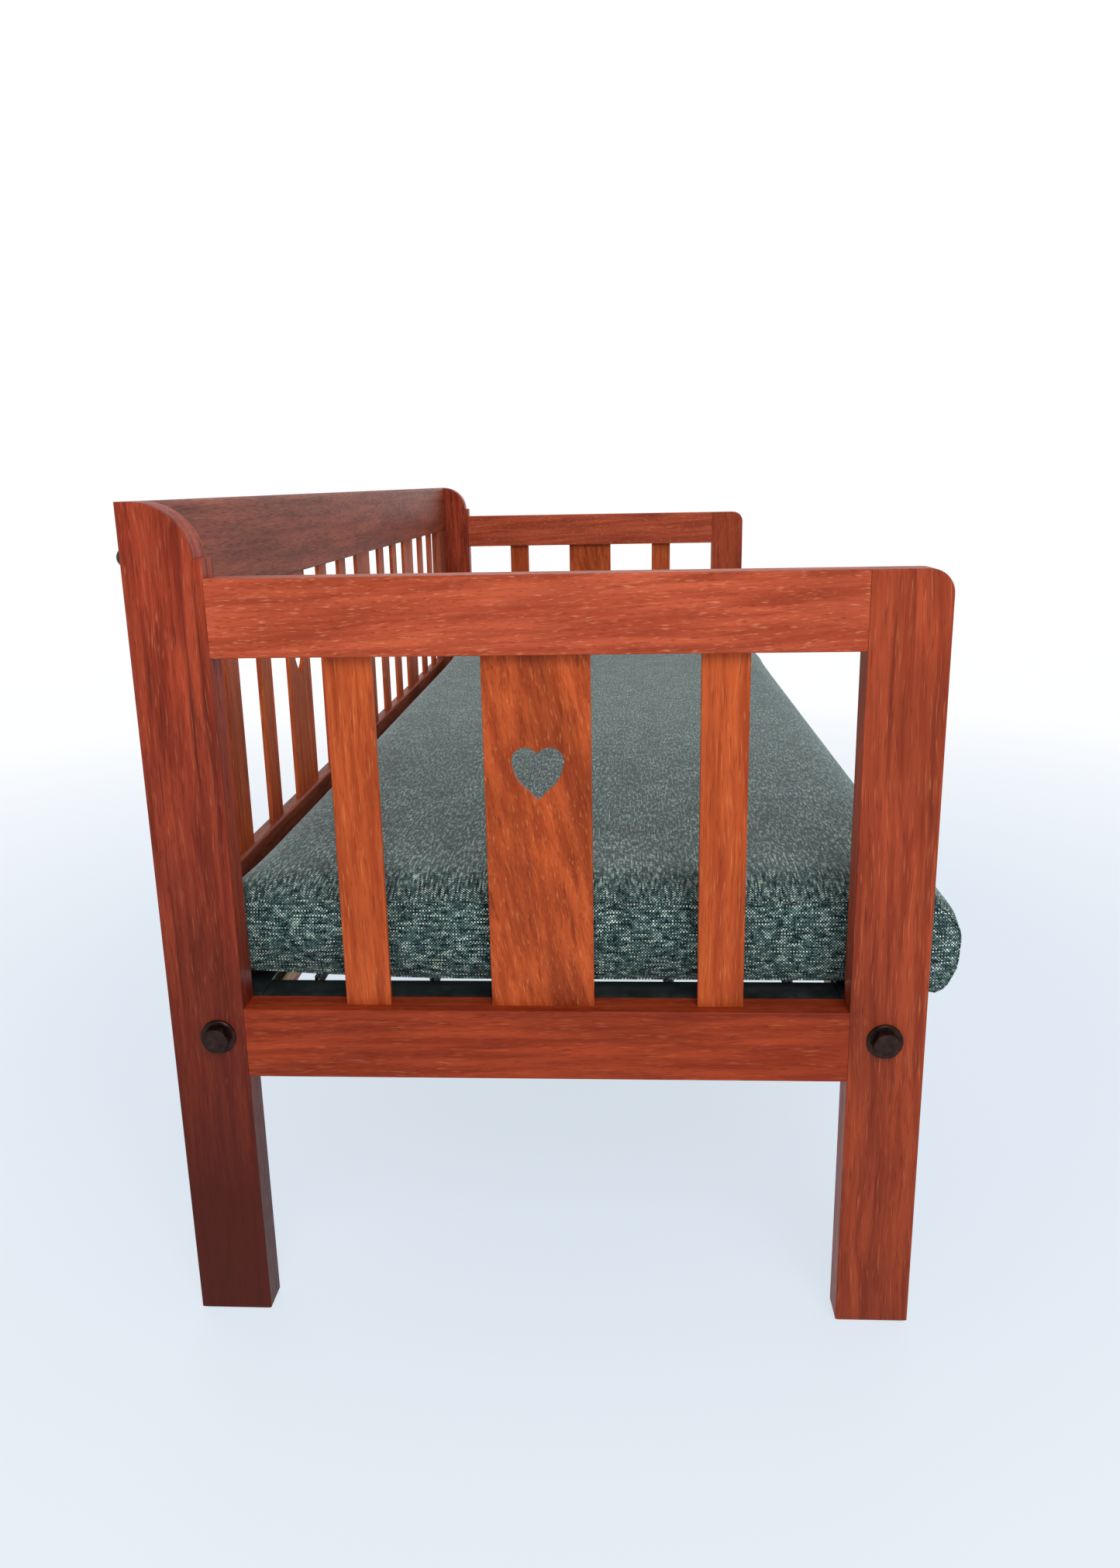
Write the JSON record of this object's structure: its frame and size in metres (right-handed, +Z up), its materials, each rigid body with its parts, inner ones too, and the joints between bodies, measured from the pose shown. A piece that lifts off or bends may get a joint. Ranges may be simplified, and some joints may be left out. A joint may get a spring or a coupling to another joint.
{
  "type": "daybed",
  "caption": "Slatted hardwood daybed with heart cut-outs, a slatted back panel, a bolted frame, a steel link-spring base and one loose seat cushion.",
  "frame": {"origin": "on the floor, at the middle of the whole object's outline in plan", "axes": "+X along the seat, +Y to the slatted back, so the open front faces -Y, +Z up"},
  "size_m": [2.066, 0.871, 0.905],
  "materials": {
    "dark_hardwood": "satin varnish on red-brown tropical hardwood with dark streaks",
    "red_hardwood": "satin varnish on red tropical hardwood",
    "orange_hardwood": "satin varnish on orange-red tropical hardwood",
    "plain_wood": "planed, unvarnished",
    "browned_steel": "dark brown lacquered, turned and forged",
    "black_steel": "blackened, domed",
    "painted_steel": "grey-black enamel on rolled angle",
    "spring_steel": "galvanised drawn wire",
    "zinc_steel": "bright zinc plated",
    "woven_cover": "grey-green melange basket weave",
    "foam": "cut polyether foam"
  },
  "bodies": {
    "frame": {"back_bottom_rail": "red_hardwood", "back_heart_slat_03": "orange_hardwood", "back_heart_slat_06": "orange_hardwood", "back_heart_slat_09": "orange_hardwood", "back_left_stile": "red_hardwood", "back_panel_screws": "black_steel", "back_right_stile": "red_hardwood", "back_slat_01": "orange_hardwood", "back_slat_02": "orange_hardwood", "back_slat_04": "orange_hardwood", "back_slat_05": "orange_hardwood", "back_slat_07": "orange_hardwood", "back_slat_08": "orange_hardwood", "back_slat_10": "orange_hardwood", "back_slat_11": "orange_hardwood", "back_top_rail": "red_hardwood", "barrel_nuts": "zinc_steel", "base_front_bar": "painted_steel", "base_left_bar": "painted_steel", "base_rear_bar": "painted_steel", "base_right_bar": "painted_steel", "bolt_washers": "browned_steel", "cleat_screws": "zinc_steel", "corner_rivets": "painted_steel", "front_cleat": "plain_wood", "front_seat_rail": "red_hardwood", "left_bottom_rail": "red_hardwood", "left_end_springs": "spring_steel", "left_front_bolt": "browned_steel", "left_front_post": "dark_hardwood", "left_front_slat": "orange_hardwood", "left_heart_slat": "orange_hardwood", "left_mesh_rod": "spring_steel", "left_rear_bolt": "browned_steel", "left_rear_post": "dark_hardwood", "left_rear_slat": "orange_hardwood", "left_top_rail": "red_hardwood", "mesh_cross_wires": "spring_steel", "mesh_long_wires": "spring_steel", "rail_dowels": "plain_wood", "rear_cleat": "plain_wood", "rear_seat_rail": "red_hardwood", "right_bottom_rail": "red_hardwood", "right_end_springs": "spring_steel", "right_front_bolt": "browned_steel", "right_front_post": "dark_hardwood", "right_front_slat": "orange_hardwood", "right_heart_slat": "orange_hardwood", "right_mesh_rod": "spring_steel", "right_rear_bolt": "browned_steel", "right_rear_post": "dark_hardwood", "right_rear_slat": "orange_hardwood", "right_top_rail": "red_hardwood"},
    "cushion": {"cushion_cover": "woven_cover", "cushion_foam": "foam"}
  },
  "joints": [
    {"name": "cushion_lift", "type": "slide", "parent": "frame", "child": "cushion", "axis": [0, 0, 1], "range_m": [0, 0.6]}
  ]
}
